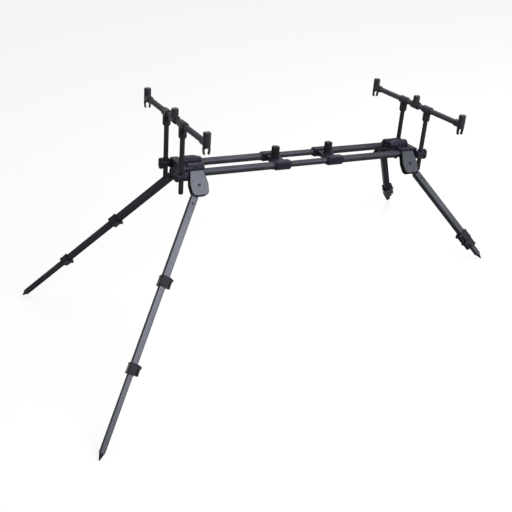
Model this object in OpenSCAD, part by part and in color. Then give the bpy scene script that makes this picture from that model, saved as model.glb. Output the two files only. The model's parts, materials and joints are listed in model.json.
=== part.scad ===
// Rod pod: two telescoping beams on four folding, telescoping legs, with two buzz bars for three rods.
// Lengths are in millimetres. The chassis is drawn level and then tilted so that all four spikes meet Z = 0.

/* [Chassis] */
// Distance between the planes of the front and rear uprights
span = 700; // [640:10:760]
// Distance between the axes of the two beams
beam_spacing = 72; // [70:0.5:76]
// Outside diameter of the outer beam tubes
beam_od = 19; // [18:0.25:20]
// Wall of the outer beam tubes
beam_wall = 1.5; // [1.2:0.1:2]
// Wall of the inner beam tubes
inner_wall = 1.5; // [1:0.1:2]
// Length of the inner beam tubes
inner_length = 390; // [360:5:400]
// From the front upright plane to the middle of the front joining block
front_block_inset = 277; // [268:1:284]
// From the rear upright plane to the middle of the rear joining block
rear_block_inset = 266; // [256:1:272]
// Length of a joining block along the beams
block_length = 50; // [46:1:56]
// Height and depth of the sleeves of a joining block
sleeve_size = 23; // [22.5:0.25:25]
// Thickness of the bridge between the sleeves
bridge_thickness = 12; // [10:0.5:14]

/* [Heads] */
// Depth of a head along the beams
head_length = 64; // [60:1:70]
// Wall of a head over the beams
head_wall = 4; // [3:0.25:5]
// Diameter of the barrel on top of a head
barrel_od = 26; // [22:0.5:28]
// Diameter of the clamps that hold the uprights
clamp_od = 21; // [20:0.25:24]
// Length of a clamp knob across its two wings
clamp_knob_length = 28; // [24:0.5:30]
// Width of a clamp knob
clamp_knob_width = 19; // [16:0.5:21]
// Diameter of the thumb knobs on the joining blocks
block_knob_od = 21; // [18:0.5:24]
// Height of the thumb knobs on the joining blocks
block_knob_height = 26; // [22:1:32]

/* [Legs] */
// Outward lean of the plane in which a leg swings
leg_splay = 35; // [34:0.5:36]
// Angle between a standing leg and the beams, measured in its plane
leg_angle = 59; // [55:1:63]
// From the upright plane to a leg's pivot
leg_inset = 41; // [40:0.5:44]
// From the middle of the chassis to a leg's pivot, across the beams
pivot_side = 61.5; // [61:0.25:63]
// From the beam axes down to a leg's pivot
pivot_drop = 23.5; // [23:0.25:25]
// Width of the outer leg tube
leg_section = 17; // [16.5:0.25:18]
// Wall of the leg tubes
leg_wall = 1; // [0.8:0.05:1.2]
// From the pivot to the upper lock
upper_reach = 251; // [248:1:270]
// How far a drawn-out leg tube stays inside the one above it
tube_overlap = 22; // [20:0.5:30]
// From the lower lock to the point on a front leg
front_lower_reach = 206; // [180:1:208]
// From the upper to the lower lock on a rear leg
rear_middle_reach = 26; // [26:1:60]
// From the lower lock to the point on a rear leg
rear_lower_reach = 56.5; // [50:0.5:90]
// Length of a lock along the leg
lock_length = 25; // [24:0.25:25]
// Wall of a lock around its tube
lock_wall = 3.25; // [3:0.25:4]
// Length of a spike
spike_length = 16; // [12:0.5:20]
// Diameter of a pivot bolt
pivot_bolt_od = 6; // [5:0.5:7]
// Thickness of a bracket cheek
cheek_thickness = 3; // [2.5:0.25:3.5]
// Thickness of the tongue on top of a leg
tongue_thickness = 7; // [6:0.25:7.5]

/* [Buzz bars] */
// Distance between the two outer alarm posts
post_spread = 383; // [360:1:400]
// Height of the cross tube's axis over the beam axes
bar_height = 126; // [110:1:140]
// Diameter of the cross tube
bar_od = 14; // [13:0.25:15]
// Wall of the cross tube
bar_wall = 1.2; // [1:0.1:2]
// Distance between the two uprights
upright_spacing = 105; // [104:0.5:110]
// Diameter of the uprights
upright_od = 12; // [11:0.25:12.5]
// How far the uprights reach below the beam axes
upright_drop = 44; // [36:1:60]
// Diameter of the alarm posts
post_od = 18; // [17:0.25:20]
// Height of an alarm post's top over the cross tube's axis
post_rise = 26; // [24:0.25:28]
// Diameter of the tapped socket in an alarm post, three eighths of an inch
socket_od = 9.52; // [8:0.01:10]
// Depth of the tapped socket
socket_depth = 14; // [10:0.5:14]
// Clear width of the clip under an outer alarm post
clip_width = 10.5; // [9:0.25:11]
// How much lower the rear bar stands than the front one
rear_bar_drop = 3.5; // [0:0.5:8]

/* [Fits] */
// Radial clearance where a round tube slides in another
slide_clear = 0.05; // [0.02:0.01:0.1]
// Radial clearance where a pin turns in a hole
turn_clear = 0.05; // [0.02:0.01:0.1]
// Clearance on each side where a square tube slides in another
square_clear = 0.15; // [0.1:0.01:0.25]
// Clearance between two flat faces that pass each other
face_clear = 0.4; // [0.3:0.05:0.6]

/* [Output] */
// Sub-part to show, or all of them

/* [Hidden] */
$fn = 48;
tip_r = 1.5;
beam_y = beam_spacing / 2;
beam_r = beam_od / 2;
inner_r = beam_r - beam_wall - slide_clear;
upright_x = span / 2;
upright_y = upright_spacing / 2;
upright_r = upright_od / 2;
head_out = upright_x - 10;
head_in = head_out - head_length;
beam_end = head_out - 4;
saddle_r = beam_r + head_wall;
clamp_r = clamp_od / 2;
clamp_z = -1;
clamp_in = upright_x - 14;
clamp_out = upright_x + 9;
clamp_arm = 0.65 * clamp_r;
knob_wing = (clamp_knob_length - clamp_knob_width) / 2;
knob_face = clamp_out + 7.6;
knob_bolt_r = 3;
barrel_r = barrel_od / 2;
barrel_y = -8;
barrel_z = 16.5;
barrel_taper = 19;
barrel_nose = 8.3;
front_block_x = upright_x - front_block_inset;
rear_block_x = upright_x - rear_block_inset;
block_lip = 6;
knob_bolt_big = 4;
bridge_top = bridge_thickness / 2 + 1;
bridge_low = bridge_top - bridge_thickness;
flange_h = 4;
pivot_x = upright_x - leg_inset;
pivot_r = pivot_bolt_od / 2;
hole_1 = leg_section - 2 * leg_wall;
section_2 = hole_1 - 2 * square_clear;
hole_2 = section_2 - 2 * leg_wall;
section_3 = hole_2 - 2 * square_clear;
hole_3 = section_3 - 2 * leg_wall;
knuckle_r = leg_section / 2;
tube_top = 33;
plug_end = tube_top + 10.5;
rivet_reach = 50;
rivet_r = 2.2;
rivet_proud = 0.8;
rivet_root = 0.5;
lock_half = lock_length / 2;
tube_in_lock = 2.5;
top_gap = 5.5;
middle_length = upper_reach + rear_middle_reach + tube_in_lock - plug_end - top_gap;
front_middle_reach = middle_length + tube_in_lock - tube_overlap;
inner_leg_length = front_lower_reach + tube_overlap - tube_in_lock;
spike_plug = 18;
lever_pin_r = 1.5;
lever_off = 3.6;
lever_half = 6.8;
tongue_half = tongue_thickness / 2;
cheek_in = tongue_half + face_clear;
cheek_out = cheek_in + cheek_thickness;
bracket_top = 36;
cheek_top_half = 16.5;
cheek_shoulder = 20;
cheek_round = 4;
cheek_foot_half = 10.5;
cheek_foot_drop = 14.5;
cheek_foot_r = 11.5;
web_half = 18;
web_low = knuckle_r + 5;
pocket_half = cheek_shoulder + cheek_round + 0.6;
pocket_low = 50;
pocket_side = 22;
stop_r = 3;
beam_u = pivot_drop * cos(leg_splay) + (pivot_side - beam_y) * sin(leg_splay);
beam_n = pivot_drop * sin(leg_splay) - (pivot_side - beam_y) * cos(leg_splay);
bar_r = bar_od / 2;
post_y = post_spread / 2;
post_r = post_od / 2;
post_top = bar_height + post_rise;
post_low = bar_height - 9.5;
socket_r = socket_od / 2;
insert_r = socket_r + 1;
upright_top = bar_height - bar_r - 2;
tee_r = bar_r + 3;
collar_r = upright_r + 4;
collar_length = 31;
collar_low = bar_height - collar_length;
tee_half = 14;
clip_r = clip_width / 2;
clip_z = post_low - clip_r;
prong = 3.4;
clip_mouth_r = clip_r - 0.8;
clip_mouth = clip_r - 1.2;
clip_drop = 6;
clip_tip = 10.6;
clip_depth = 6.5;
front_tip = upper_reach + front_middle_reach + front_lower_reach - tip_r;
rear_tip = upper_reach + rear_middle_reach + rear_lower_reach - tip_r;
front_tip_x = -pivot_x - front_tip * cos(leg_angle);
front_tip_z = -pivot_drop - front_tip * sin(leg_angle) * cos(leg_splay);
rear_tip_x = pivot_x + rear_tip * cos(leg_angle);
rear_tip_z = -pivot_drop - rear_tip * sin(leg_angle) * cos(leg_splay);
tilt = atan2(rear_tip_z - front_tip_z, rear_tip_x - front_tip_x);
lift = tip_r + front_tip_x * sin(tilt) - front_tip_z * cos(tilt);
front_end = front_tip_x * cos(tilt) + front_tip_z * sin(tilt) - tip_r;
rear_end = rear_tip_x * cos(tilt) + rear_tip_z * sin(tilt) + tip_r;
shift = -(front_end + rear_end) / 2;
grey = [0.42, 0.43, 0.47];
black = [0.1, 0.1, 0.11];
steel = [0.7, 0.7, 0.72];

// Placing

// From the level chassis to the standing part
module stand() {
    translate([shift, 0, lift]) rotate([0, tilt, 0]) children();
}

// The rear end as drawn, or turned round to the front
module at_end(front) {
    stand() if (front) rotate([0, 0, 180]) children();
    else children();
}

// The bar of an end, the rear one a little lower in its clamps
module at_bar(front) {
    at_end(front) translate([0, 0, front ? 0 : -rear_bar_drop]) children();
}

module flip_x(on) {
    if (on) mirror([1, 0, 0]) children();
    else children();
}

module flip_y(on) {
    if (on) mirror([0, 1, 0]) children();
    else children();
}

// A corner of the chassis: X outward along the beams, Y up in the leg's plane, Z out of the plane
module corner(front, right) {
    flip_x(front) flip_y(right) translate([pivot_x, -pivot_side, -pivot_drop])
        rotate([90 - leg_splay, 0, 0]) children();
}

// A leg: X from the pivot down the leg
module leg(front, right) {
    stand() corner(front, right) rotate([0, 0, -leg_angle]) children();
}

// Shapes

module rod_x(x0, x1, r) {
    translate([x0, 0, 0]) rotate([0, 90, 0]) cylinder(h = x1 - x0, r = r);
}

module rod_y(y0, y1, r) {
    translate([0, y0, 0]) rotate([-90, 0, 0]) cylinder(h = y1 - y0, r = r);
}

module rod_z(z0, z1, r) {
    translate([0, 0, z0]) cylinder(h = z1 - z0, r = r);
}

module tube_x(x0, x1, r, hole) {
    difference() {
        rod_x(x0, x1, r);
        rod_x(x0 - 1, x1 + 1, hole);
    }
}

module box(low, high) {
    translate(low) cube(high - low);
}

module round_square(w, r) {
    translate([-w / 2 + r, -w / 2]) square([w - 2 * r, w]);
    translate([-w / 2, -w / 2 + r]) square([w, w - 2 * r]);
    for (x = [-1, 1])
        for (y = [-1, 1])
            translate([x * (w / 2 - r), y * (w / 2 - r)]) circle(r);
}

module bar_sq(x0, x1, w, r) {
    translate([x0, 0, 0]) rotate([90, 0, 90]) linear_extrude(x1 - x0) round_square(w, r);
}

module tube_sq(x0, x1, w, hole) {
    difference() {
        bar_sq(x0, x1, w, 1.6);
        bar_sq(x0 - 1, x1 + 1, hole, 1.2);
    }
}

// Heads

module head_solid() {
    difference() {
        union() {
            box([head_in + 14, -beam_y - 9, 4], [head_out, beam_y + 9, saddle_r + 1]);
            box([head_in + 2, -beam_y + saddle_r - 1.5, 4], [head_out, beam_y - saddle_r + 1.5, 10]);
            for (s = [-1, 1])
                translate([0, s * beam_y, 0]) rod_x(head_in + 12, head_out, saddle_r);
        }
        box([head_in - 10, -beam_y - 20, -20], [head_out - 18, beam_y + 20, 4]);
    }
    box([head_out - 18, -beam_y - 12, -10], [head_out, beam_y + 12, saddle_r + 2]);
    translate([0, barrel_y, barrel_z]) rod_x(head_in + barrel_taper, head_out - 12, barrel_r);
    translate([head_in, barrel_y, barrel_z]) rotate([0, 90, 0])
        cylinder(h = barrel_taper, r1 = barrel_nose, r2 = barrel_r);
    translate([0, 27, 11]) rod_x(head_in + 8, head_out - 14, 11);
    for (s = [-1, 1]) {
        translate([0, s * upright_y, clamp_z]) rod_x(clamp_in, clamp_out, clamp_r);
        translate([upright_x, s * upright_y, 0]) rod_z(clamp_z, clamp_z + clamp_r + 2, upright_r + 3);
        flip_y(s < 0) box([clamp_in - 2, upright_y - 14, clamp_z - clamp_arm],
            [clamp_in + 8, upright_y + clamp_arm, clamp_z + clamp_arm]);
    }
}

module head() {
    difference() {
        head_solid();
        for (s = [-1, 1]) {
            translate([0, s * beam_y, 0]) rod_x(head_in - 1, beam_end, beam_r);
            translate([upright_x, s * upright_y, clamp_z])
                rod_z(-clamp_r - 5, clamp_r + 5, upright_r + slide_clear);
            translate([0, s * upright_y, clamp_z]) rod_x(upright_x, clamp_out + 1, knob_bolt_r + turn_clear);
        }
        for (right = [false, true])
            corner(false, right)
                box([-pocket_half, -pocket_low, -pocket_side], [pocket_half, bracket_top, pocket_side]);
        translate([0, barrel_y, barrel_z]) rod_x(head_in - 1, head_in + 3, 7.5);
        translate([0, barrel_y, barrel_z]) rod_x(head_in - 1, head_in + 14, 4);
    }
}

module head_bolts() {
    for (right = [false, true]) corner(false, right) {
        rod_z(-cheek_out - 5, cheek_out, pivot_r);
        rod_z(cheek_out, cheek_out + 1.6, pivot_r + 1);
        translate([0, 0, -cheek_out - 5]) cylinder(h = 5, r = pivot_r + 3, $fn = 6);
    }
    translate([0, barrel_y, barrel_z]) {
        rod_x(head_in + 0.5, head_in + 3, 7);
        rod_x(head_in + 3, head_in + 14, 4);
    }
}

module bracket_cheek() {
    hull() {
        for (s = [-1, 1]) {
            translate([s * cheek_top_half, bracket_top - cheek_round / 2]) circle(cheek_round / 2);
            translate([s * cheek_shoulder, cheek_round / 2]) circle(cheek_round);
            translate([s * cheek_foot_half, -cheek_foot_drop]) circle(cheek_foot_r);
        }
    }
}

// Two cheeks joined under the beam, with a stop for the leg between them
module bracket() {
    difference() {
        union() {
            for (z = [-cheek_out, cheek_in])
                translate([0, 0, z]) linear_extrude(cheek_thickness) bracket_cheek();
            box([-web_half, web_low, -cheek_in - 1], [web_half, bracket_top, cheek_in + 1]);
            rotate([0, 0, -leg_angle]) translate([5, knuckle_r + stop_r + 0.2, 0])
                rod_z(-cheek_in - 1, cheek_in + 1, stop_r);
        }
        translate([0, beam_u, beam_n]) rod_x(-pocket_half, pocket_half, beam_r);
        rod_z(-cheek_out - 1, cheek_out + 1, pivot_r);
    }
}

module clamp_knob(front, right) {
    s = right ? 1 : -1;
    y = front ? -s : s;
    color(black) at_end(front) translate([0, y * upright_y, clamp_z]) {
        rod_x(upright_x + upright_r + 0.3, clamp_out + 1, knob_bolt_r);
        rotate([front == right ? 0 : 90, 0, 0]) {
            for (w = [-knob_wing, knob_wing])
                translate([0, 0, w]) rod_x(clamp_out + 0.3, knob_face, clamp_knob_width / 2);
            box([clamp_out + 0.3, -clamp_knob_width / 2, -knob_wing],
                [knob_face, clamp_knob_width / 2, knob_wing]);
        }
    }
}

// Chassis

module beam_tubes(block_x) {
    for (s = [-1, 1])
        translate([0, s * beam_y, 0])
            tube_x(block_x - block_length / 2 + block_lip, beam_end, beam_r, beam_r - beam_wall);
}

module inner_tubes() {
    for (s = [-1, 1])
        translate([0, s * beam_y, 0])
            tube_x(-inner_length / 2, inner_length / 2, inner_r, inner_r - inner_wall);
}

// A joining block with its lip towards the middle of the chassis
module block(block_x) {
    x0 = block_x - block_length / 2;
    x1 = block_x + block_length / 2;
    difference() {
        union() {
            for (s = [-1, 1]) translate([0, s * beam_y, 0]) {
                bar_sq(x0 + 3, x1 - 6, sleeve_size, 6);
                rod_x(x0, x1, sleeve_size / 2 - 1);
            }
            box([x0 + 8, -beam_y, bridge_low], [x1 - 12, beam_y, bridge_top]);
            translate([block_x, 0, 0]) rod_z(bridge_low, bridge_top + flange_h, block_knob_od / 2 + 1.5);
        }
        for (s = [-1, 1]) translate([0, s * beam_y, 0]) {
            rod_x(x0 + block_lip, x1 + 1, beam_r);
            rod_x(x0 - 1, x1 + 1, inner_r + slide_clear);
        }
        translate([block_x, 0, 0])
            rod_z(bridge_low - 1, bridge_top + flange_h + 1, knob_bolt_big + turn_clear);
    }
}

module block_knob(block_x) {
    z0 = bridge_top + flange_h + 0.3;
    translate([block_x, 0, 0]) {
        rod_z(bridge_low, z0 + 1, knob_bolt_big);
        difference() {
            union() {
                rod_z(z0, z0 + block_knob_height - 1.5, block_knob_od / 2);
                translate([0, 0, z0 + block_knob_height - 1.5])
                    cylinder(h = 1.5, r1 = block_knob_od / 2, r2 = block_knob_od / 2 - 1.5);
            }
            for (a = [0 : 24 : 336])
                rotate([0, 0, a]) translate([block_knob_od / 2 + 0.6, 0, 0])
                    rod_z(z0 + 4, z0 + block_knob_height + 1, 1.4);
        }
    }
}

// Buzz bars

module bar_tube() {
    translate([upright_x, 0, bar_height]) difference() {
        rod_y(-post_y + 5, post_y - 5, bar_r);
        rod_y(-post_y, post_y, bar_r - bar_wall);
    }
}

module bar_tees() {
    for (s = [-1, 1]) translate([upright_x, s * upright_y, 0]) difference() {
        union() {
            translate([0, 0, bar_height]) rod_y(-tee_half, tee_half, tee_r);
            rod_z(collar_low + 4, bar_height, collar_r);
            translate([0, 0, collar_low]) cylinder(h = 4, r1 = collar_r - 2, r2 = collar_r);
        }
        translate([0, 0, bar_height]) rod_y(-tee_half - 1, tee_half + 1, bar_r);
        rod_z(collar_low - 1, bar_height, upright_r);
    }
}

module bar_uprights() {
    for (s = [-1, 1]) translate([upright_x, s * upright_y, 0]) {
        rod_z(-upright_drop + 2, upright_top, upright_r);
        translate([0, 0, -upright_drop]) cylinder(h = 2, r1 = upright_r - 2, r2 = upright_r);
    }
}

module post_solid(low) {
    rotate_extrude() {
        translate([0, low]) square([post_r, post_top - 4 - low]);
        translate([0, post_top - 4]) square([post_r - 4, 4]);
        intersection() {
            translate([post_r - 4, post_top - 4]) circle(4);
            translate([0, post_top - 4]) square([post_r, 4]);
        }
    }
}

// A ring drawn out downwards, open at its mouth between two tips that bend in
module clip_profile() {
    difference() {
        union() {
            hull() {
                circle(clip_r + prong);
                translate([0, -clip_drop]) circle(clip_mouth_r + prong);
            }
            translate([-clip_r - prong, 0]) square([2 * clip_r + 2 * prong, clip_r + 0.5]);
        }
        hull() {
            circle(clip_r);
            translate([0, -clip_drop]) circle(clip_mouth_r);
        }
        translate([-clip_mouth, -clip_tip - clip_drop]) square([2 * clip_mouth, clip_tip]);
        translate([-2 * clip_width, -clip_tip - clip_drop]) square([4 * clip_width, clip_drop]);
    }
}

module alarm_posts() {
    translate([upright_x, 0, 0]) {
        for (s = [-1, 1]) translate([0, s * post_y, 0]) difference() {
            union() {
                post_solid(post_low);
                translate([0, 0, bar_height]) rod_y(s > 0 ? -22 : 0, s > 0 ? 0 : 22, bar_r + 2.2);
                translate([0, clip_depth / 2, clip_z]) rotate([90, 0, 0])
                    linear_extrude(clip_depth) clip_profile();
            }
            translate([0, 0, bar_height]) rod_y(s > 0 ? -30 : -5, s > 0 ? 5 : 30, bar_r);
            rod_z(post_top - socket_depth, post_top + 1, insert_r);
        }
        difference() {
            union() {
                translate([0, 0, bar_height]) rod_y(-13, 13, bar_r + 3.2);
                post_solid(bar_height);
            }
            translate([0, 0, bar_height]) rod_y(-20, 20, bar_r);
            rod_z(post_top - socket_depth, post_top + 1, insert_r);
        }
    }
}

module inserts() {
    for (s = [-1, 0, 1]) translate([upright_x, s * post_y, 0]) difference() {
        rod_z(post_top - socket_depth, post_top, insert_r);
        rod_z(post_top - socket_depth - 1, post_top + 2, socket_r);
    }
}

// Legs

module lock_shape(size, hole_top, hole_low, side) {
    flip_y(side < 0) difference() {
        union() {
            bar_sq(-lock_half, lock_half, size, 3);
            for (s = [-1, 1]) {
                box([-lock_half + 1, -size / 2 - lever_off, s * (lever_half + 1.8) - 1.5],
                    [-lock_half + 10, 0, s * (lever_half + 1.8) + 1.5]);
                translate([-lock_half + 5.5, -size / 2 - lever_off, s * (lever_half + 1.8) - 1.5])
                    cylinder(h = 3, r = 3.6);
            }
            translate([-lock_half + 5.5, -size / 2 - lever_off, 0])
                rod_z(-lever_half - 2, lever_half + 2, lever_pin_r);
        }
        bar_sq(-lock_half - 1, tube_in_lock, hole_top, 1.6);
        bar_sq(-lock_half - 1, lock_half + 1, hole_low, 1.2);
    }
}

module lever_shape(size, side) {
    flip_y(side < 0) difference() {
        union() {
            translate([-lock_half + 5.5, -size / 2 - lever_off, 0]) rod_z(-lever_half, lever_half, 3.2);
            box([-lock_half + 5.5, -size / 2 - 5.2, -lever_half],
                [lock_half - 0.4, -size / 2 - 1.2, lever_half]);
            box([lock_half - 5, -size / 2 - 6.6, -lever_half],
                [lock_half - 0.4, -size / 2 - 5.2, lever_half]);
        }
        translate([-lock_half + 5.5, -size / 2 - lever_off, 0])
            rod_z(-lever_half - 1, lever_half + 1, lever_pin_r + turn_clear);
    }
}

module fittings(front, right, side) {
    color(black) leg(front, right) {
        difference() {
            union() {
                rod_z(-tongue_half, tongue_half, knuckle_r);
                box([0, -knuckle_r, -tongue_half], [tube_top - 1, knuckle_r, tongue_half]);
                bar_sq(tube_top - 1.5, tube_top, leg_section, 1.6);
                bar_sq(tube_top - 1, plug_end, hole_1, 1.2);
            }
            rod_z(-knuckle_r - 1, knuckle_r + 1, pivot_r + turn_clear);
        }
        translate([upper_reach, 0, 0]) lock_shape(leg_section + 2 * lock_wall, leg_section, hole_1, side);
    }
}

module outer_tube(front, right) {
    color(grey) leg(front, right) {
        tube_sq(tube_top, upper_reach + tube_in_lock, leg_section, hole_1);
        translate([rivet_reach, 0, leg_section / 2 - rivet_root])
            cylinder(h = rivet_root + rivet_proud, r = rivet_r);
    }
}

module upper_lever(front, right, side) {
    color(black) leg(front, right) translate([upper_reach, 0, 0])
        lever_shape(leg_section + 2 * lock_wall, side);
}

module middle_tube(front, right) {
    low = upper_reach + (front ? front_middle_reach : rear_middle_reach) + tube_in_lock;
    color(grey) leg(front, right) tube_sq(low - middle_length, low, section_2, hole_2);
}

module lower_lock(front, right, side) {
    x = upper_reach + (front ? front_middle_reach : rear_middle_reach);
    color(black) leg(front, right) translate([x, 0, 0])
        lock_shape(section_2 + 2 * lock_wall, section_2, hole_2, side);
}

module lower_lever(front, right, side) {
    x = upper_reach + (front ? front_middle_reach : rear_middle_reach);
    color(black) leg(front, right) translate([x, 0, 0]) lever_shape(section_2 + 2 * lock_wall, side);
}

module inner_tube(front, right) {
    tip = (front ? front_tip : rear_tip) + tip_r;
    color(grey) leg(front, right)
        tube_sq(tip - inner_leg_length, tip - spike_length, section_3, hole_3);
}

module spike(front, right) {
    tip = front ? front_tip : rear_tip;
    base = tip + tip_r - spike_length;
    color(black) leg(front, right) {
        bar_sq(base - spike_plug, base, hole_3, 1.2);
        translate([base, 0, 0]) rotate([0, 90, 0])
            cylinder(h = tip - base, r1 = section_3 / 2 - 0.2, r2 = tip_r);
        translate([tip, 0, 0]) sphere(tip_r);
    }
}

// Sub-parts

module front_head() { color(black) at_end(true) head(); }
module rear_head() { color(black) at_end(false) head(); }
module front_brackets() { color(grey) stand() for (right = [false, true]) corner(true, right) bracket(); }
module rear_brackets() { color(grey) stand() for (right = [false, true]) corner(false, right) bracket(); }
module front_bolts() { color(steel) at_end(true) head_bolts(); }
module rear_bolts() { color(steel) at_end(false) head_bolts(); }
module front_beam_tubes() { color(grey) at_end(true) beam_tubes(front_block_x); }
module rear_beam_tubes() { color(grey) at_end(false) beam_tubes(rear_block_x); }
module front_block() { color(black) at_end(true) block(front_block_x); }
module rear_block() { color(black) at_end(false) block(rear_block_x); }
module inner_beam_tubes() { color(grey) stand() inner_tubes(); }
module front_block_knob() { color(black) at_end(true) block_knob(front_block_x); }
module rear_block_knob() { color(black) at_end(false) block_knob(rear_block_x); }
module front_bar_tube() { color(black) at_bar(true) bar_tube(); }
module rear_bar_tube() { color(black) at_bar(false) bar_tube(); }
module front_bar_tees() { color(black) at_bar(true) bar_tees(); }
module rear_bar_tees() { color(black) at_bar(false) bar_tees(); }
module front_bar_uprights() { color(black) at_bar(true) bar_uprights(); }
module rear_bar_uprights() { color(black) at_bar(false) bar_uprights(); }
module front_alarm_posts() { color(black) at_bar(true) alarm_posts(); }
module rear_alarm_posts() { color(black) at_bar(false) alarm_posts(); }
module front_inserts() { color(steel) at_bar(true) inserts(); }
module rear_inserts() { color(steel) at_bar(false) inserts(); }

front_head();
front_brackets();
front_bolts();
front_beam_tubes();
front_block();
inner_beam_tubes();
rear_head();
rear_brackets();
rear_bolts();
rear_beam_tubes();
rear_block();
clamp_knob(true, false);  // front_left_clamp_knob
clamp_knob(true, true);  // front_right_clamp_knob
clamp_knob(false, false);  // rear_left_clamp_knob
clamp_knob(false, true);  // rear_right_clamp_knob
front_block_knob();
rear_block_knob();
front_bar_tube();
front_bar_tees();
front_bar_uprights();
front_alarm_posts();
front_inserts();
rear_bar_tube();
rear_bar_tees();
rear_bar_uprights();
rear_alarm_posts();
rear_inserts();
fittings(true, false, 1);  // front_left_fittings
outer_tube(true, false);  // front_left_outer_tube
upper_lever(true, false, 1);  // front_left_upper_lever
middle_tube(true, false);  // front_left_middle_tube
lower_lock(true, false, 1);  // front_left_lower_lock
lower_lever(true, false, 1);  // front_left_lower_lever
inner_tube(true, false);  // front_left_inner_tube
spike(true, false);  // front_left_spike
fittings(true, true, 1);  // front_right_fittings
outer_tube(true, true);  // front_right_outer_tube
upper_lever(true, true, 1);  // front_right_upper_lever
middle_tube(true, true);  // front_right_middle_tube
lower_lock(true, true, 1);  // front_right_lower_lock
lower_lever(true, true, 1);  // front_right_lower_lever
inner_tube(true, true);  // front_right_inner_tube
spike(true, true);  // front_right_spike
fittings(false, false, 1);  // rear_left_fittings
outer_tube(false, false);  // rear_left_outer_tube
upper_lever(false, false, 1);  // rear_left_upper_lever
middle_tube(false, false);  // rear_left_middle_tube
lower_lock(false, false, 1);  // rear_left_lower_lock
lower_lever(false, false, 1);  // rear_left_lower_lever
inner_tube(false, false);  // rear_left_inner_tube
spike(false, false);  // rear_left_spike
fittings(false, true, -1);  // rear_right_fittings
outer_tube(false, true);  // rear_right_outer_tube
upper_lever(false, true, -1);  // rear_right_upper_lever
middle_tube(false, true);  // rear_right_middle_tube
lower_lock(false, true, -1);  // rear_right_lower_lock
lower_lever(false, true, -1);  // rear_right_lower_lever
inner_tube(false, true);  // rear_right_inner_tube
spike(false, true);  // rear_right_spike
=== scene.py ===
# %% [markdown]
# # A rod pod, dressed for its picture
#
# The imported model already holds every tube, casting and joint at its true size. This lesson sets
# the camera, gives those solids their finishes, and replaces or adds the small pieces that hands
# and eyes go to: knobs, levers, bracket faces, screws, rivets and threaded inserts. It ends with
# the floor and the light.

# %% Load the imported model
import json
import math

import bmesh
import bpy
from mathutils import Matrix, Vector


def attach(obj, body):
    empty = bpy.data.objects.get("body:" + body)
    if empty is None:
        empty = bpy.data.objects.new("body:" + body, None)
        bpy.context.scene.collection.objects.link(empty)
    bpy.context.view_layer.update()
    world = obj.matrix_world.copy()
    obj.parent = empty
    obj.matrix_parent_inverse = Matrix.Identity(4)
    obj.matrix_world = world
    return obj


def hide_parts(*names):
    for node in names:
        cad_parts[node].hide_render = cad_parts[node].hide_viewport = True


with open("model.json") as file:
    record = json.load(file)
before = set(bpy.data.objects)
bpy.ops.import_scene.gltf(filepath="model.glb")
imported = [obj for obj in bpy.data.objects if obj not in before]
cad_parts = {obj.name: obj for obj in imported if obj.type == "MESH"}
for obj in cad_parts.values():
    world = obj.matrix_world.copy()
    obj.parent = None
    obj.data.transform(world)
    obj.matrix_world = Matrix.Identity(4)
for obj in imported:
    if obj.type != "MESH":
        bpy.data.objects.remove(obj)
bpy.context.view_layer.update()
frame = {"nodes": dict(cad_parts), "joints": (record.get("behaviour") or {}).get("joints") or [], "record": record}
record = frame["record"]
joints = {joint["name"]: joint for joint in frame["joints"]}
mm = 0.001
ENDS = ("front", "rear")
LEGS = ("front_left", "front_right", "rear_left", "rear_right")

# %% [markdown]
# ## Places
#
# The pod stands with its front end raised, so little on it lies along the world's axes. Numbers for
# the tilt could be typed in, but the joints already know it: a beam slides along its own axis, a
# leg turns about its own bolt. Each local frame below is built from those axes, so the pieces
# follow the model when it stands another way.

# %% Local frames
pivot_below_beams = 23.5 * mm


def frame_at(origin, along, out):
    """A matrix at origin whose X runs along and whose Z points out."""
    x = Vector(along).normalized()
    y = Vector(out).cross(x).normalized()
    matrix = Matrix((x, y, x.cross(y))).transposed().to_4x4()
    matrix.translation = Vector(origin)
    return matrix


def leg_frame(leg):
    """X down the leg from its pivot, Z out of the plane in which the leg swings."""
    fold = joints[leg + "_leg_fold"]
    pivot, out = Vector(fold["pos_m"]), Vector(fold["axis"])
    down = -Vector(joints[leg + "_middle_slide"]["axis"])
    return frame_at(pivot, down, out if out.y * pivot.y > 0 else -out)


beam_axis = Vector(joints["inner_beams_slide"]["axis"])
upright_axis = Vector(joints["front_bar_height"]["axis"])
pivots = [Vector(joints[leg + "_leg_fold"]["pos_m"]) for leg in LEGS]
chassis_middle = sum(pivots, Vector()) / len(pivots) + upright_axis * pivot_below_beams
chassis = frame_at(chassis_middle, beam_axis, upright_axis)
end_frames = {"rear": chassis, "front": chassis @ Matrix.Rotation(math.pi, 4, "Z")}
leg_frames = {leg: leg_frame(leg) for leg in LEGS}
print("chassis tilt", round(math.degrees(math.asin(-beam_axis.z)), 2), "degrees")

# %% [markdown]
# ## Camera
#
# The photograph was taken from the raised front end, to the left of the pod and above it. The
# camera's spot, direction and focal length were found by fitting the tubes' edges to the picture.
# They are given in the chassis's own axes and carried into the world by its frame.

# %% Camera
camera_spot = Vector((-1022.65, -1710.06, 654.94)) * mm
camera_yaw, camera_pitch, camera_roll = (math.radians(a) for a in (-28.22, -25.44, 4.56))
focal_pixels, picture_pixels, sensor_width = 798.45, 512, 36.0

forward = Vector((-math.sin(camera_yaw) * math.cos(camera_pitch),
                  math.cos(camera_yaw) * math.cos(camera_pitch), math.sin(camera_pitch)))
level_right = forward.cross(Vector((0, 0, 1))).normalized()
level_up = level_right.cross(forward)
right = level_right * math.cos(camera_roll) + level_up * math.sin(camera_roll)
up = level_up * math.cos(camera_roll) - level_right * math.sin(camera_roll)
aim = Matrix((right, up, -forward)).transposed().to_4x4()
aim.translation = camera_spot

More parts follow.
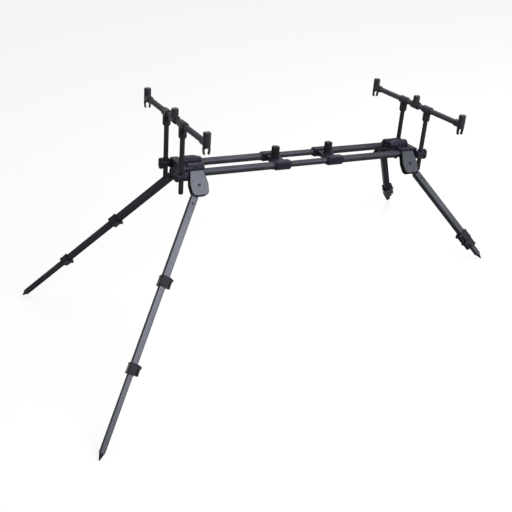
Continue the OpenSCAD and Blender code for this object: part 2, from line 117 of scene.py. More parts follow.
camera_data = bpy.data.cameras.new("camera")
camera_data.sensor_fit = "HORIZONTAL"
camera_data.sensor_width = sensor_width
camera_data.lens = focal_pixels / picture_pixels * sensor_width
camera = bpy.data.objects.new("camera", camera_data)
camera.matrix_world = chassis @ aim
bpy.context.scene.collection.objects.link(camera)
bpy.context.scene.camera = camera
print("camera at", [round(v, 3) for v in camera.matrix_world.translation])

# %% [markdown]
# ## Finishes
#
# A finish is a Principled shader with three patterns behind it: a slow change of tone, a change of
# gloss, and a fine relief. All of them are noise read on Object coordinates. The Mapping node is
# set to Texture, which turns first and then stretches, so noise laid in a tube's own frame becomes
# the long, fine lines that drawing leaves along aluminium. On plastic the noise is even in all
# directions, like the grain of a mould. Noise seldom reaches 0 or 1, so each pattern uses only its
# middle range.

# %% A finish and its noise
satin_edge = 0.4
pattern_low, pattern_high = 0.3, 0.7


def new_finish(name, metallic, specular):
    """A material with its constant shader values set on the shader itself."""
    material = bpy.data.materials.new(name)
    material.use_nodes = True
    shader = material.node_tree.nodes["Principled BSDF"]
    shader.inputs["Metallic"].default_value = metallic
    shader.inputs["Specular IOR Level"].default_value = specular
    shader.inputs["Specular Tint"].default_value = (satin_edge, satin_edge, satin_edge, 1)
    return material


def noise(material, size, place=None, detail=2.0):
    """Noise whose features have that size, in metres, along the axes of a frame."""
    nodes, links = material.node_tree.nodes, material.node_tree.links
    coordinates = nodes.new("ShaderNodeTexCoord")
    mapping = nodes.new("ShaderNodeMapping")
    mapping.vector_type = "TEXTURE"
    mapping.inputs["Scale"].default_value = size
    if place is not None:
        mapping.inputs["Location"].default_value = place.translation
        mapping.inputs["Rotation"].default_value = place.to_euler()
    texture = nodes.new("ShaderNodeTexNoise")
    texture.inputs["Scale"].default_value = 1.0
    texture.inputs["Detail"].default_value = detail
    links.new(coordinates.outputs["Object"], mapping.inputs["Vector"])
    links.new(mapping.outputs["Vector"], texture.inputs["Vector"])
    return texture.outputs["Fac"]


print("patterns use the noise from", pattern_low, "to", pattern_high)

# %% What a pattern can change


def scaled(colour, factor):
    """A lighter or darker shade of a colour."""
    return tuple(channel * factor for channel in colour)


def tone(material, pattern, colour, spread):
    """Lets a pattern move the base colour a little to both sides of a colour."""
    nodes, links = material.node_tree.nodes, material.node_tree.links
    ramp = nodes.new("ShaderNodeValToRGB")
    dark, light = ramp.color_ramp.elements
    dark.position, light.position = pattern_low, pattern_high
    dark.color = (*scaled(colour, 1 - spread), 1)
    light.color = (*scaled(colour, 1 + spread), 1)
    links.new(pattern, ramp.inputs["Fac"])
    links.new(ramp.outputs["Color"], nodes["Principled BSDF"].inputs["Base Color"])


def gloss(material, pattern, roughness):
    """Lets a pattern move the roughness between two values."""
    nodes, links = material.node_tree.nodes, material.node_tree.links
    span = nodes.new("ShaderNodeMapRange")
    span.inputs["From Min"].default_value = pattern_low
    span.inputs["From Max"].default_value = pattern_high
    span.inputs["To Min"].default_value, span.inputs["To Max"].default_value = roughness
    links.new(pattern, span.inputs["Value"])
    links.new(span.outputs["Result"], nodes["Principled BSDF"].inputs["Roughness"])


def relief(material, pattern, strength, height):
    """Turns a pattern into a fine bump."""
    nodes, links = material.node_tree.nodes, material.node_tree.links
    bump = nodes.new("ShaderNodeBump")
    bump.inputs["Strength"].default_value = strength
    bump.inputs["Distance"].default_value = height
    links.new(pattern, bump.inputs["Height"])
    links.new(bump.outputs["Normal"], nodes["Principled BSDF"].inputs["Normal"])


print("a pattern changes tone, gloss or relief")

# %% [markdown]
# ### Anodised tube
#
# The beams and legs are drawn aluminium, anodised to a dark gunmetal with a satin sheen. Where a
# face mirrors a lamp it is pale, and elsewhere it is almost black. A nearly metallic shader with a
# dark, slightly blue base gives that swing, and a specular tint below 1 holds back the white edge
# that metal gets at a grazing angle. Each leg points its own way, so each gets a copy of the
# finish whose lines run down that leg. The black coat of the buzz bars is the same finish with
# less metal.

# %% Anodised and coated tubes
gunmetal = (0.025, 0.0261, 0.0314)
lighter_gunmetal = scaled(gunmetal, 1.1)
bar_black, upright_black = (0.042, 0.0404, 0.0488), (0.0198, 0.0198, 0.0224)
anodised_metal, coated_metal, tube_specular = 0.9, 0.7, 0.2
line_size, line_detail = (200 * mm, 0.7 * mm, 0.7 * mm), 3.0
line_strength, line_depth = 0.12, 0.1 * mm
cloud_size, cloud_spread = (90 * mm, 30 * mm, 30 * mm), 0.14


def drawn_tube(name, place, colour, metallic, roughness):
    """A satin metal whose fine lines run along the X axis of a frame."""
    material = new_finish(name, metallic, tube_specular)
    lines = noise(material, line_size, place, line_detail)
    clouds = noise(material, cloud_size, place)
    tone(material, clouds, colour, cloud_spread)
    gloss(material, lines, roughness)
    relief(material, lines, line_strength, line_depth)
    return material


across_frame = frame_at(chassis_middle, upright_axis.cross(beam_axis), upright_axis)
upright_frame = frame_at(chassis_middle, upright_axis, beam_axis)
leg_finish = {leg: drawn_tube("anodised_" + leg, leg_frames[leg], gunmetal, anodised_metal,
                              roughness=(0.28, 0.4)) for leg in LEGS}
beam_finish = drawn_tube("anodised_beam", chassis, lighter_gunmetal, anodised_metal,
                         roughness=(0.44, 0.56))
bar_finish = drawn_tube("black_coat_bar", across_frame, bar_black, coated_metal,
                        roughness=(0.34, 0.44))
upright_finish = drawn_tube("black_coat_upright", upright_frame, upright_black, coated_metal,
                            roughness=(0.38, 0.48))
print("tube finishes:", len(leg_finish) + 3)

# %% [markdown]
# ### Blasted bracket, castings, collars, grips and steel
#
# The brackets are pressed plates with a finely blasted face, so their relief is even. The end
# castings and the joining blocks are a blue-black plastic, the alarm posts and tees a neutral one,
# and the collars of the leg locks a slightly purple one with more gloss. What the fingers turn is
# a duller black. All of these share one recipe: even grain for the relief, and slow patches that
# move tone and gloss together. Bolts and spikes are blackened steel, and only the threaded inserts
# are left plain.

# %% Grained finishes
grain_detail, grain_strength = 3.0, 0.35
patch_size, patch_spread = (35 * mm,) * 3, 0.15


def grained(name, colour, roughness, grain, depth, specular, metallic=0.0):
    """A finish with the same grain in every direction."""
    material = new_finish(name, metallic, specular)
    fine = noise(material, (grain,) * 3, detail=grain_detail)
    patches = noise(material, patch_size)
    tone(material, patches, colour, patch_spread)
    gloss(material, patches, roughness)
    relief(material, fine, grain_strength, depth)
    return material


bracket_finish = grained("blasted_bracket", lighter_gunmetal, roughness=(0.3, 0.38),
                         grain=0.6 * mm, depth=0.05 * mm, specular=0.2, metallic=0.9)
casting_finish = grained("blue_black_casting", (0.0092, 0.0096, 0.0169), roughness=(0.4, 0.54),
                         grain=0.9 * mm, depth=0.1 * mm, specular=0.14)
moulded_finish = grained("moulded_black", (0.018, 0.0175, 0.0216), roughness=(0.42, 0.56),
                         grain=0.9 * mm, depth=0.12 * mm, specular=0.18)
collar_finish = grained("collar_black", (0.0128, 0.0119, 0.0169), roughness=(0.36, 0.48),
                        grain=0.9 * mm, depth=0.1 * mm, specular=0.11)
grip_finish = grained("grip_black", (0.0101, 0.0101, 0.0128), roughness=(0.5, 0.64),
                      grain=0.7 * mm, depth=0.1 * mm, specular=0.14)
dark_steel_finish = grained("blackened_steel", (0.015, 0.015, 0.0162), roughness=(0.4, 0.52),
                            grain=0.8 * mm, depth=0.03 * mm, specular=0.2, metallic=0.8)
insert_finish = grained("dull_steel", (0.185, 0.185, 0.19), roughness=(0.34, 0.48),
                        grain=0.5 * mm, depth=0.02 * mm, specular=0.5, metallic=0.8)
print("materials:", len(bpy.data.materials))

# %% Give each solid its finish
slot_finish = {"bracket_metal": bracket_finish, "black_coated_steel": dark_steel_finish,
               "black_plastic": moulded_finish, "soft_black_plastic": grip_finish,
               "dull_steel": insert_finish}
slot_of = {subpart["node"]: subpart["material_slot"] for subpart in record["subparts"]}


def finish_for(node):
    """The finish of a node's slot, or a closer one that its name asks for."""
    slot = slot_of[node]
    if slot == "anodised_tube":
        return next((leg_finish[leg] for leg in LEGS if node.startswith(leg)), beam_finish)
    if slot == "black_coated_tube":
        return upright_finish if node.endswith("uprights") else bar_finish
    if node.endswith(("_fittings", "_lower_lock")):
        return collar_finish
    return casting_finish if node.endswith(("_head", "_block")) else slot_finish[slot]


for node, solid in frame["nodes"].items():
    solid.data.materials.clear()
    solid.data.materials.append(finish_for(node))
print("finished", len(frame["nodes"]), "solids")

# %% [markdown]
# ## Making pieces
#
# Every piece starts as a small bmesh in its own local frame, in metres, and most have Z as their
# axis. A few helpers do the repeated work: one extrudes faces, one also draws their rim in, one
# bevels sharp edges so that they catch light, one makes a cylinder. The last ones carry a mesh to
# its place, join it to another, shade it and let it ride on a body. Shading is smooth, and edges
# sharper than a crease angle stay sharp.

# %% Helpers for shapes
round_segments, round_profile = 48, 0.5


def raise_faces(bm, faces, move):
    """Extrudes faces by a vector and returns the faces at the far end."""
    made = bmesh.ops.extrude_face_region(bm, geom=faces)["geom"]
    corners = [part for part in made if isinstance(part, bmesh.types.BMVert)]
    bmesh.ops.translate(bm, vec=move, verts=corners)
    return [part for part in made if isinstance(part, bmesh.types.BMFace)]


def taper(bm, faces, inset, rise):
    """Extrudes faces along Z and draws their rim in towards the axis."""
    top = raise_faces(bm, faces, (0, 0, rise))
    corners = list({corner for face in top for corner in face.verts})
    reach_x = max(abs(corner.co.x) for corner in corners)
    reach_y = max(abs(corner.co.y) for corner in corners)
    bmesh.ops.scale(bm, vec=(1 - inset / reach_x, 1 - inset / reach_y, 1), verts=corners)
    return top


def bevel(bm, geom, width, segments, affect="EDGES"):
    """Rounds edges, or vertices where affect says so."""
    bmesh.ops.bevel(bm, geom=geom, offset=width, affect=affect, segments=segments,
                    profile=round_profile, material=-1)


def soften(bm, width, segments=2, sharper_than=35):
    """Bevels every edge that is sharper than an angle in degrees."""
    limit = math.radians(sharper_than)
    edges = [edge for edge in bm.edges if edge.is_manifold and edge.calc_face_angle(0) > limit]
    bevel(bm, edges, width, segments)


def circle(bm, radius, height, segments=round_segments):
    """A round face across the Z axis. Returns its vertices."""
    return bmesh.ops.create_circle(bm, cap_ends=True, segments=segments, radius=radius,
                                   matrix=Matrix.Translation((0, 0, height)))["verts"]


def disc(bm, radius, low, high, segments=round_segments):
    """A closed cylinder on the Z axis. Returns its top face."""
    rim = circle(bm, radius, low, segments)
    return raise_faces(bm, rim[0].link_faces[:], (0, 0, high - low))


print("round shapes have", round_segments, "sides unless they ask for another number")

# %% Helpers for finished pieces
smooth_up_to = 38


def placed(bm, matrix):
    """Carries a whole bmesh into a frame."""
    bmesh.ops.transform(bm, matrix=matrix, verts=bm.verts)
    return bm


def join_into(whole, part):
    """Adds one bmesh to another and frees it."""
    mesh = bpy.data.meshes.new("part")
    part.to_mesh(mesh)
    part.free()
    whole.from_mesh(mesh)
    bpy.data.meshes.remove(mesh)


def add_piece(name, bm, body, finish, replaced=(), crease=smooth_up_to):
    """Turns a finished bmesh into a piece that rides on a body."""
    bmesh.ops.holes_fill(bm, edges=bm.edges)
    bmesh.ops.recalc_face_normals(bm, faces=bm.faces)
    mesh = bpy.data.meshes.new(name)
    bm.to_mesh(mesh)
    bm.free()
    mesh.polygons.foreach_set("use_smooth", [True] * len(mesh.polygons))
    mesh.set_sharp_from_angle(angle=math.radians(crease))
    mesh.materials.append(finish)
    piece = bpy.data.objects.new(name, mesh)
    bpy.context.scene.collection.objects.link(piece)
    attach(piece, body)
    if replaced:
        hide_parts(*replaced)


def joint_frame(name, along):
    """A frame at a hinge whose Z is the hinge's axis."""
    joint = joints[name]
    return frame_at(joint["pos_m"], along, joint["axis"])


print("pieces are smooth up to", smooth_up_to, "degrees")

# %% [markdown]
# ## Thumb knobs
#
# The knob on each joining block presses on the inner tubes. It is a plain cylinder with fine
# flutes for a wet thumb, standing on a smooth foot, and its top is chamfered. A circle whose rim
# is waved and then extruded gives the flutes in one step. Heights are measured along the knob's
# axis from its hinge.

# %% Thumb knobs
thumb_radius, thumb_stem = 10.5 * mm, 4 * mm
stem_end, thumb_low, thumb_high = -4.8 * mm, 11.3 * mm, 37.3 * mm
foot_height, foot_round, foot_sides = 3.2 * mm, 0.5 * mm, 72
flutes, flute_depth, points_per_flute, flute_start = 36, 0.7 * mm, 6, 3 * mm
thumb_chamfer, thumb_crown = (1.1 * mm, 1.0 * mm), (2.0 * mm, 0.3 * mm)
overlap = 1 * mm


def fluted(bm, radius, low, high):
    """A cylinder whose rim waves in and out once for each flute. Returns its top face."""
    rim = circle(bm, radius, low, flutes * points_per_flute)
    for corner in rim:
        wave = math.cos(math.atan2(corner.co.y, corner.co.x) * flutes)
        corner.co.xy = corner.co.xy * (1 - flute_depth / radius * (0.5 - 0.5 * wave))
    return raise_faces(bm, rim[0].link_faces[:], (0, 0, high - low))


def thumb_knob():
    """A fluted knob on a smooth foot, with its stem below."""
    bm = bmesh.new()
    disc(bm, thumb_stem, stem_end, thumb_low + overlap)
    disc(bm, thumb_radius, thumb_low, thumb_low + foot_height, foot_sides)
    soften(bm, foot_round)
    flute_top = thumb_high - thumb_chamfer[1] - thumb_crown[1]
    top = fluted(bm, thumb_radius, thumb_low + flute_start, flute_top)
    top = taper(bm, top, *thumb_chamfer)
    taper(bm, top, *thumb_crown)
    return bm


for end in ENDS:
    body = end + "_block_knob"
    place = joint_frame(body + "_turn", beam_axis)
    add_piece(end + "_thumb_knob", placed(thumb_knob(), place), body,
              grip_finish, [body])
print("thumb knobs:", len(ENDS))

# %% [markdown]
# ## Clamp knobs
#
# A small oval knob outside each upright tightens its clamp: its two wings give the fingers a
# lever. A circle whose halves are pulled apart gives the oval. Its face is drawn in to a chamfer
# and then sunk a little. Each knob stops where it grips, so the solid tells which way its wings
# lie.

# %% Clamp knobs
knob_half_length, knob_half_width = 14 * mm, 9.5 * mm
knob_stem, knob_stem_end = 3 * mm, 6.4 * mm
knob_low, knob_side_top = 9.3 * mm, 14.8 * mm
knob_steps = [(0.7, 1.2), (1.3, 0.6), (1.5, 0), (0.7, -0.8)]
on_the_axis = 0.01 * mm


def wing_knob():
    """An oval knob with its wings along X and its face towards Z."""
    bm = bmesh.new()
    disc(bm, knob_stem, knob_stem_end, knob_low + overlap)
    rim = circle(bm, knob_half_width, knob_low)
    for corner in rim:
        if abs(corner.co.x) > on_the_axis:
            corner.co.x += math.copysign(knob_half_length - knob_half_width, corner.co.x)
    top = raise_faces(bm, rim[0].link_faces[:], (0, 0, knob_side_top - knob_low))
    for inset, rise in knob_steps:
        top = taper(bm, top, inset * mm, rise * mm)
    return bm


def wings_along(body, place):
    """The way in which the wings of a knob's solid lie, as a turn about its hinge."""
    spots = [place.inverted() @ vertex.co for vertex in frame["nodes"][body].data.vertices]
    tall = max(abs(spot.x) for spot in spots) > max(abs(spot.y) for spot in spots)
    return Matrix.Rotation(0 if tall else math.pi / 2, 4, "Z")


for leg in LEGS:
    body = leg + "_clamp_knob"
    place = joint_frame(body + "_turn", upright_axis)
    place = place @ wings_along(body, place)
    add_piece(leg + "_wing_knob", placed(wing_knob(), place), body,
              grip_finish, [body])
print("clamp knobs:", len(LEGS))

# %% [markdown]
# ## Leg locks
#
# Each leg has two collars with a cam lever. The collar is the solid itself; two raised bands are
# added at its ends, as a moulding has where its wall is thickest. The lever is drawn as a side
# view, a thin tab with a lip for the fingertip, extruded across its width, with a round hub on its
# pin and four grip ridges. The lever's pin tells where its collar is: the collar's own size is
# known.

# %% Lock frames
lock_half, pin_from_top, pin_height = 12.5 * mm, 5.5 * mm, 3.6 * mm
collar_bodies = (("upper", "_leg"), ("lower", "_middle"))
locks = [(leg, which, leg + body) for leg in LEGS for which, body in collar_bodies]


def lever_pin(leg, which):
    """The middle of a lever's pin."""
    return Vector(joints[f"{leg}_{which}_lever_turn"]["pos_m"])


def lever_frame(leg, which):
    """X down the leg, Y away from the collar, Z along the lever's pin."""
    pin, place = lever_pin(leg, which), leg_frames[leg]
    local = place.inverted() @ pin
    away = (place.to_3x3() @ Vector((0, local.y, local.z))).normalized()
    down = place.col[0].to_3d()
    return frame_at(pin, down, down.cross(away))


def lock_frame(leg, which):
    """At the middle of a collar, in the leg's own axes, with the collar's width."""
    local = leg_frames[leg].inverted() @ lever_pin(leg, which)
    middle = local.x + lock_half - pin_from_top
    width = 2 * (abs(local.y) - pin_height)
    return leg_frames[leg] @ Matrix.Translation((middle, 0, 0)), width


print("collar widths, mm:", [round(lock_frame(leg, which)[1] / mm, 1) for leg, which, _ in locks])

# %% Collar bands
band_width, band_wall, band_proud, band_inset = 3.2 * mm, 0.9 * mm, 0.7 * mm, 2 * mm
band_round, band_round_steps, end_facing = 3.4 * mm, 4, 0.9
band_edge, band_edge_steps, band_edge_angle = 0.25 * mm, 1, 60


def square_band(size):
    """A rounded square ring round the X axis."""
    bm = bmesh.new()
    bmesh.ops.create_cube(bm, size=1, matrix=Matrix.Diagonal((band_width, size, size, 1)))
    long_edges = [e for e in bm.edges if abs(e.verts[0].co.x - e.verts[1].co.x) > band_width / 2]
    bevel(bm, long_edges, band_round, band_round_steps)
    ends = [face for face in bm.faces if abs(face.normal.x) > end_facing]
    bmesh.ops.inset_region(bm, faces=ends, thickness=band_wall, use_even_offset=True)
    rims = list({edge for face in ends for edge in face.edges})
    bmesh.ops.delete(bm, geom=ends, context="FACES_ONLY")
    bmesh.ops.bridge_loops(bm, edges=rims)
    soften(bm, band_edge, band_edge_steps, band_edge_angle)
    return bm


def collar_bands(width):
    """Two bands, one near each end of a collar of that width."""
    bm = bmesh.new()
    for middle in (-lock_half + band_inset, lock_half - band_inset):
        band = square_band(width + 2 * band_proud)
        join_into(bm, placed(band, Matrix.Translation((middle, 0, 0))))
    return bm


print("a collar's bands lie", round(2 * (lock_half - band_inset) / mm, 1), "mm apart")

# %% Cam levers
lever_half_width, lever_edge, hub_radius, hub_sides = 6.7 * mm, 0.45 * mm, 3.15 * mm, 32
lever_side = [(0.5, -2.2), (18.7, -1.9), (19.0, 2.9), (17.2, 2.9), (15.6, 2.1), (6.5, 2.1),
              (1.5, 2.9)]
ridges, ridge_start, ridge_step = 4, 8.2 * mm, 1.7 * mm
ridge_size, ridge_height, ridge_length = 0.8 * mm, 2.2 * mm, 1.6 * lever_half_width


def cam_lever():
    """A tab along X with a hub on the Z axis and ridges on its outer face."""
    bm = bmesh.new()
    outline = [bm.verts.new((x * mm, y * mm, -lever_half_width)) for x, y in lever_side]
    raise_faces(bm, [bm.faces.new(outline)], (0, 0, 2 * lever_half_width))
    soften(bm, lever_edge)
    disc(bm, hub_radius, -lever_half_width, lever_half_width, hub_sides)
    for ridge in range(ridges):
        spot = Matrix.Translation((ridge_start + ridge_step * ridge, ridge_height, 0))
        block = Matrix.Diagonal((ridge_size, ridge_size, ridge_length, 1))
        bmesh.ops.create_cube(bm, size=1, matrix=spot @ block)
    return bm


for leg, which, body in locks:
    place, width = lock_frame(leg, which)
    add_piece(f"{leg}_{which}_bands", placed(collar_bands(width), place), body,
              collar_finish)
    lever = f"{leg}_{which}_lever"
    add_piece(f"{leg}_{which}_cam_lever", placed(cam_lever(), lever_frame(leg, which)), lever,
              grip_finish, [lever])
print("collars banded and levers made:", len(locks))

# %% [markdown]
# ## Bracket faces
#
# The outer cheek of each bracket is a pressed plate: its face stands a little proud inside a
# sloping rim, which catches the light at another angle than the flat. Six corners draw the shield.
# Beveling its vertices, and not its edges, rounds the corners; then the face is raised and stepped
# in. The rim's slope is gentle, so these pieces get a low crease angle: smooth shading across it
# would look like a pillow.

# %% Bracket faces
cheek_face, rim_foot, rim_width, face_rise = 6.9 * mm, 0.3 * mm, 1.7 * mm, 1.4 * mm
shield_corners = [(18.1, 35.9), (23.9, 2), (20.6, -25.9)]
shield_rounds, shield_round_steps = [1.8, 0.8, 10.2], 8
rim_crease = 12


def pressed_face():
    """A shield in the XY plane, with Y up, whose rim slopes up to its face."""
    bm = bmesh.new()
    right_side = [bm.verts.new((x * mm, y * mm, 0)) for x, y in shield_corners]
    left_side = [bm.verts.new((-x * mm, y * mm, 0)) for x, y in shield_corners]
    bm.faces.new(right_side + left_side[::-1])
    for pair, reach in zip(zip(right_side, left_side), shield_rounds):
        bevel(bm, list(pair), reach * mm, shield_round_steps, affect="VERTICES")
    top = raise_faces(bm, bm.faces[:], (0, 0, rim_foot))
    bmesh.ops.inset_region(bm, faces=top, thickness=rim_width, use_even_offset=True)
    corners = list({corner for face in top for corner in face.verts})
    bmesh.ops.translate(bm, vec=(0, 0, face_rise), verts=corners)
    return bm


def cheek_frame(leg):
    """At a pivot, Y up in the leg's plane and Z out of it."""
    out = leg_frames[leg].col[2].to_3d()
    along = beam_axis if out.cross(beam_axis).z > 0 else -beam_axis
    pivot = frame_at(leg_frames[leg].translation, along, out)
    return pivot @ Matrix.Translation((0, 0, cheek_face))


frame_of = {leg: leg.split("_")[0] + "_frame" for leg in LEGS}
for leg in LEGS:
    add_piece(leg + "_bracket_face", placed(pressed_face(), cheek_frame(leg)), frame_of[leg],
              bracket_finish, crease=rim_crease)
print("bracket faces:", len(LEGS))

# %% [markdown]
# ## Bolts, screws and rivets
#
# A leg turns on a bolt with a low round head and a hexagon socket. The socket is made from the
# head's own top face: its inset rim is pushed out to a hexagon and sunk. The same head at other
# sizes serves for the screws in each end casting: a large one at the nose of the barrel and three
# small ones on the deck. Each leg has a rivet on its outer face: half a sphere, flattened.

# %% Heads with a hexagon socket
head_round, head_round_steps, socket_rim, socket_depth = 0.3, 3, 0.7, 0.7
sixth_turn = math.pi / 3


def socket_head(radius, height, key):
    """A round screw head on Z = 0. Its socket is twice the key across its flats."""
    bm = bmesh.new()
    disc(bm, radius, 0, height)
    soften(bm, height * head_round, head_round_steps)
    bm.faces.ensure_lookup_table()
    top = max(bm.faces, key=lambda face: (round(face.calc_center_median().z, 6), face.calc_area()))
    bmesh.ops.inset_region(bm, faces=[top], thickness=radius * socket_rim - key,
                           use_even_offset=True)
    for corner in top.verts:
        turn = math.atan2(corner.co.y, corner.co.x)
        flat = math.cos((turn + sixth_turn / 2) % sixth_turn - sixth_turn / 2)
        corner.co.xy = Vector((math.cos(turn), math.sin(turn))) * key / flat
    raise_faces(bm, [top], (0, 0, -height * socket_depth))
    return bm


pivot_head = (3.4 * mm, 2.2 * mm, 1.5 * mm)
for leg in LEGS:
    place = leg_frames[leg] @ Matrix.Translation((0, 0, cheek_face + rim_foot + face_rise))
    add_piece(leg + "_pivot_head", placed(socket_head(*pivot_head), place), frame_of[leg],
              dark_steel_finish)
print("pivot heads:", len(LEGS))

# %% Screws in the end castings
barrel_nose = Vector((278.4, -8, 16.5)) * mm
nose_screw, deck_screw = (7.05 * mm, 2.7 * mm, 3.2 * mm), (2.8 * mm, 1.8 * mm, 1.3 * mm)
deck_spots = [(301, -33, 14.5), (314, -33, 14.5), (308, 37.5, 14.5)]
facing_middle = Matrix.Rotation(-math.pi / 2, 4, "Y")

screws = [(Matrix.Translation(barrel_nose) @ facing_middle, nose_screw)]
screws += [(Matrix.Translation(Vector(spot) * mm), deck_screw) for spot in deck_spots]
for end in ENDS:
    merged = bmesh.new()
    for spot, sizes in screws:
        join_into(merged, placed(socket_head(*sizes), end_frames[end] @ spot))
    add_piece(end + "_head_screws", merged, end + "_frame", dark_steel_finish)
print("casting screws:", len(ENDS) * len(screws))

# %% Rivets
rivet_from_pivot, leg_half = 50 * mm, 8.5 * mm
rivet_radius, rivet_flatness, rivet_sides, rivet_rings = 2.7 * mm, 0.5, 24, 12


def rivet():
    """Half a flattened sphere on Z = 0."""
    bm = bmesh.new()
    bmesh.ops.create_uvsphere(bm, u_segments=rivet_sides, v_segments=rivet_rings,
                              radius=rivet_radius)
    bmesh.ops.bisect_plane(bm, geom=bm.verts[:] + bm.edges[:] + bm.faces[:], plane_co=(0, 0, 0),
                           plane_no=(0, 0, 1), clear_inner=True)
    bmesh.ops.scale(bm, vec=(1, 1, rivet_flatness), verts=bm.verts)
    return bm


for leg in LEGS:
    place = leg_frames[leg] @ Matrix.Translation((rivet_from_pivot, 0, leg_half))
    add_piece(leg + "_rivet", placed(rivet(), place), leg + "_leg",
              dark_steel_finish)
print("rivets:", len(LEGS))

# %% [markdown]
# ## Threaded inserts
#
# Each alarm post holds a steel insert that takes the stud of an alarm or a rod rest. Its wall is
# drawn as half a section, with a tooth for each turn of the thread, and spun round the post. A
# true helix would cost many more faces and would look the same from outside the hole.

# %% Threaded inserts
insert_wall, insert_chamfer, insert_lead, insert_steps = 1.0 * mm, 0.2 * mm, 0.3 * mm, 40
tooth_depth, tooth_pitch, first_tooth = 0.55 * mm, 1.45 * mm, 0.6 * mm
merge_distance = 0.002 * mm


def threaded_insert(mount):
    """A threaded sleeve on the Z axis, as long and as wide as a mount says."""
    bore, half = mount["dims"]["r_mm"] * mm, mount["dims"]["length_mm"] * mm / 2
    outside = bore + insert_wall
    section = [(outside, -half), (outside, half - insert_chamfer), (outside - insert_chamfer, half),
               (bore + insert_lead, half)]
    for tooth in range(int(2 * half / tooth_pitch) - 1):
        z = half - first_tooth - tooth * tooth_pitch
        section += [(bore, z), (bore - tooth_depth, z - tooth_pitch / 2)]
    section += [(bore, -half)]
    bm = bmesh.new()
    corners = [bm.verts.new((x, 0, z)) for x, z in section]
    edges = [bm.edges.new((a, b)) for a, b in zip(corners, corners[1:] + corners[:1])]
    bmesh.ops.spin(bm, geom=corners + edges, cent=(0, 0, 0), axis=(0, 0, 1), angle=2 * math.pi,
                   steps=insert_steps, use_merge=True)
    return bm


for end in ENDS:
    merged = bmesh.new()
    for mount in record["mounts"]:
        if mount["name"].startswith(end):
            place = frame_at(mount["pos_m"], beam_axis, mount["axis"])
            join_into(merged, placed(threaded_insert(mount), place))
    bmesh.ops.remove_doubles(merged, verts=merged.verts, dist=merge_distance)
    inserts = end + "_inserts"
    add_piece(end + "_threaded_inserts", merged, end + "_bar", insert_finish,
              [inserts])
print("threaded inserts:", len(record["mounts"]))

# %% [markdown]
# ## Floor and world
#
# The pod stands on a plain floor that is white in the picture and still keeps a faint shadow. A
# white floor under lamps this bright would be washed out, so its paint is dark and a glow lifts
# it: the glow is there only for what is seen, by the camera, in a reflection or through glass, and
# gives the pod no other light. The world works the same way: white where it is seen, dimmer as a
# fill light.

# %% Floor
floor_half, floor_paint, floor_glow, floor_roughness = 14.0, 0.12, 0.8, 0.9
white = (1, 1, 1, 1)


def seen_directly(tree):
    """1 for rays from the camera, reflections and glass, 0 for the light on the object."""
    path = tree.nodes.new("ShaderNodeLightPath")
    first = tree.nodes.new("ShaderNodeMath")
    second = tree.nodes.new("ShaderNodeMath")
    first.operation = second.operation = "MAXIMUM"
    tree.links.new(path.outputs["Is Camera Ray"], first.inputs[0])
    tree.links.new(path.outputs["Is Glossy Ray"], first.inputs[1])
    tree.links.new(first.outputs[0], second.inputs[0])
    tree.links.new(path.outputs["Is Transmission Ray"], second.inputs[1])
    return second.outputs[0]


floor_finish = bpy.data.materials.new("pale_floor")
floor_finish.use_nodes = True
tree = floor_finish.node_tree
paint = tree.nodes["Principled BSDF"]
paint.inputs["Base Color"].default_value = (floor_paint, floor_paint, floor_paint, 1)
paint.inputs["Roughness"].default_value = floor_roughness
paint.inputs["Specular IOR Level"].default_value = 0.0
paint.inputs["Emission Color"].default_value = white
glow = tree.nodes.new("ShaderNodeMath")
glow.operation = "MULTIPLY"
glow.inputs[1].default_value = floor_glow
tree.links.new(seen_directly(tree), glow.inputs[0])
tree.links.new(glow.outputs[0], paint.inputs["Emission Strength"])

bm = bmesh.new()
bmesh.ops.create_grid(bm, x_segments=1, y_segments=1, size=floor_half)
floor_mesh = bpy.data.meshes.new("studio_floor")
bm.to_mesh(floor_mesh)
bm.free()
floor_mesh.materials.append(floor_finish)
floor = bpy.data.objects.new("studio_floor", floor_mesh)
bpy.context.scene.collection.objects.link(floor)
print("floor", 2 * floor_half, "metres wide")

# %% World
fill_light, seen_light = 0.38, 1.0

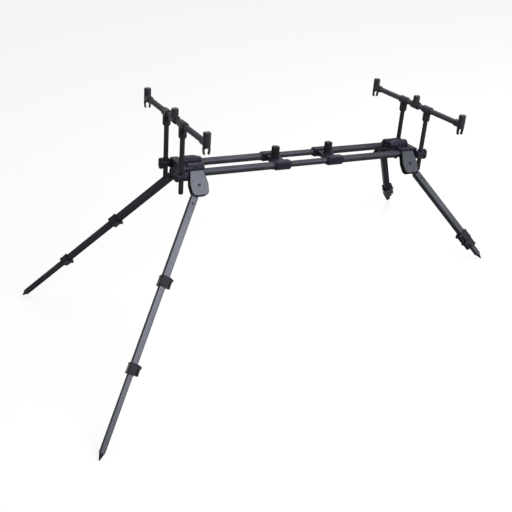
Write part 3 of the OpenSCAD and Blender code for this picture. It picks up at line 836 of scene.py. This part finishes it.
world = bpy.data.worlds.new("studio")
bpy.context.scene.world = world
world.use_nodes = True
tree = world.node_tree
sky = tree.nodes["Background"]
sky.inputs["Color"].default_value = white
level = tree.nodes.new("ShaderNodeMapRange")
level.inputs["To Min"].default_value, level.inputs["To Max"].default_value = fill_light, seen_light
tree.links.new(seen_directly(tree), level.inputs["Value"])
tree.links.new(level.outputs["Result"], sky.inputs["Strength"])
print("fill light", fill_light)

# %% [markdown]
# ## Lamps
#
# Four soft lamps light the pod. The key is a large panel that stands where the near front leg and
# its bracket mirror it towards the camera, which is what makes their outer faces pale. A smaller
# one at the side does the same for the near rear leg. A panel above the far side draws the bright
# line along the beams, and a wide, even light from overhead lights the tops and the floor. A panel
# is given by its surface's brightness, so it can change size without changing the tone of what
# mirrors it.

# %% Lamps
pod_middle = Vector((0, 0, 0.25))


def add_lamp(name, data, direction, distance):
    """Puts a lamp that way from the middle of the pod, facing it."""
    lamp = bpy.data.objects.new(name, data)
    spot = Vector(direction).normalized()
    lamp.matrix_world = spot.to_track_quat("Z", "Y").to_matrix().to_4x4()
    lamp.matrix_world.translation = pod_middle + spot * distance
    bpy.context.scene.collection.objects.link(lamp)


def softbox(name, direction, distance, width, height, brightness):
    """A panel whose surface has that brightness."""
    data = bpy.data.lights.new(name, "AREA")
    data.shape = "RECTANGLE"
    data.size, data.size_y = width, height
    data.energy = brightness * math.pi * width * height
    add_lamp(name, data, direction, distance)


def overhead(name, direction, strength, spread):
    """An even, very soft light that reaches the far floor too."""
    data = bpy.data.lights.new(name, "SUN")
    data.energy = strength
    data.angle = math.radians(spread)
    add_lamp(name, data, direction, 0)


softbox("key", (0.294, -0.789, 0.542), distance=2.5, width=1.75, height=1.4, brightness=12)
softbox("side", (0.765, -0.55, 0.337), distance=2.85, width=0.9, height=0.9, brightness=6)
softbox("top", (0.515, 0.155, 0.84), distance=2.2, width=1.0, height=0.7, brightness=11.2)
overhead("overhead", (0.3, 0.38, 0.87), strength=1.7, spread=60)
bpy.context.scene.view_settings.view_transform = "Standard"
print("lamps:", len(bpy.data.lights))
